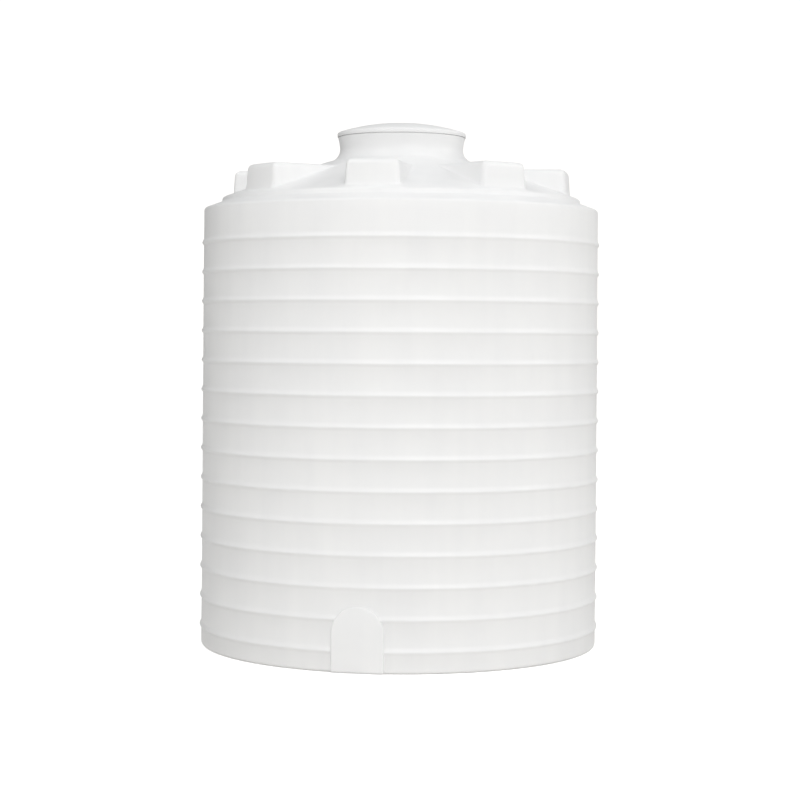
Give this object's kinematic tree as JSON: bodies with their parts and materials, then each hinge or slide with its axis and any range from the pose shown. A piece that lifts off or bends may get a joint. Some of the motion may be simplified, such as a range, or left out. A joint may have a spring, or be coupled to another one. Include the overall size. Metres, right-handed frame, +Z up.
{
  "type": "vertical fresh water tank",
  "caption": "Upright cylindrical plastic water tank with hoop ribs, a lobed conical top, a lift-off manhole lid, an outlet valve, a float-fed inlet, an overflow and a vent.",
  "frame": {"origin": "centre of the flat base, on the surface the tank stands on", "axes": "+Z up along the tank's axis; -Y is the front, which the blank outlet pad faces; the piped fittings are at the rear, +Y"},
  "size_m": [1.774, 1.962, 2.322],
  "materials": {
    "white_pe": "white rotomoulded polyethylene, satin, very fine mould grain",
    "black_rubber": "black EPDM, matte",
    "grey_pvc": "grey moulded PVC-U, semi-matte",
    "white_ptfe": "white PTFE and moulded plastic, smooth",
    "red_plastic": "red moulded plastic, slightly glossy",
    "blue_plastic": "blue blow-moulded plastic, slightly glossy",
    "brass": "turned and cast brass, satin",
    "steel": "stainless steel, brushed"
  },
  "bodies": {
    "tank": {"tank_shell": "white_pe", "outlet_outer_gasket": "black_rubber", "outlet_inner_gasket": "black_rubber", "outlet_bulkhead": "grey_pvc", "outlet_lock_nut": "grey_pvc", "outlet_valve_body": "grey_pvc", "outlet_valve_inner_seat": "white_ptfe", "outlet_valve_outer_seat": "white_ptfe", "outlet_valve_seat_carrier": "grey_pvc", "outlet_union_seal": "black_rubber", "outlet_end_connector": "grey_pvc", "outlet_union_nut": "grey_pvc", "inlet_outer_washer": "black_rubber", "inlet_inner_washer": "black_rubber", "inlet_lock_nut": "brass", "float_valve_body": "brass", "float_pivot_pin": "steel", "overflow_outer_gasket": "black_rubber", "overflow_inner_gasket": "black_rubber", "overflow_bulkhead": "grey_pvc", "overflow_lock_nut": "grey_pvc", "overflow_elbow": "grey_pvc", "overflow_screen": "steel", "vent_gasket": "black_rubber", "vent_stem": "grey_pvc", "vent_lock_nut": "grey_pvc", "vent_screen": "steel", "vent_cap": "grey_pvc"},
    "lid_gasket": {"lid_gasket": "black_rubber"},
    "lid": {"manhole_lid": "white_pe"},
    "outlet_handle": {"outlet_valve_handle": "red_plastic", "outlet_valve_stem": "grey_pvc", "outlet_valve_ball": "white_ptfe", "outlet_handle_screw": "steel"},
    "float": {"float_arm": "brass", "float_ball": "blue_plastic", "float_ball_nut": "brass"},
    "float_piston": {"float_valve_piston": "brass", "float_valve_seal": "black_rubber"}
  },
  "joints": [
    {"name": "lid_lift", "type": "slide", "parent": "tank", "child": "lid_gasket", "axis": [0, 0, 1], "range_m": [0, 0.4]},
    {"name": "lid_turn", "type": "hinge", "parent": "lid_gasket", "child": "lid", "pos_m": [0, 0, 2.262], "axis": [0, 0, 1], "continuous": true},
    {"name": "outlet_valve_turn", "type": "hinge", "parent": "tank", "child": "outlet_handle", "pos_m": [0, 0.9666, 0.13], "axis": [0, 0, -1], "range_deg": [0, 90]},
    {"name": "float_swing", "type": "hinge", "parent": "tank", "child": "float", "pos_m": [-0.32702, 0.73449, 1.836], "axis": [-0.9135, -0.4067, 0], "range_deg": [0, 35]},
    {"name": "float_piston_slide", "type": "slide", "parent": "tank", "child": "float_piston", "axis": [-0.4067, 0.9135, 0], "range_m": [0, 0.012]}
  ],
  "couplings": [
    {"joint": "float_piston_slide", "follows": "float_swing", "m_per_rad": 0.0196}
  ]
}
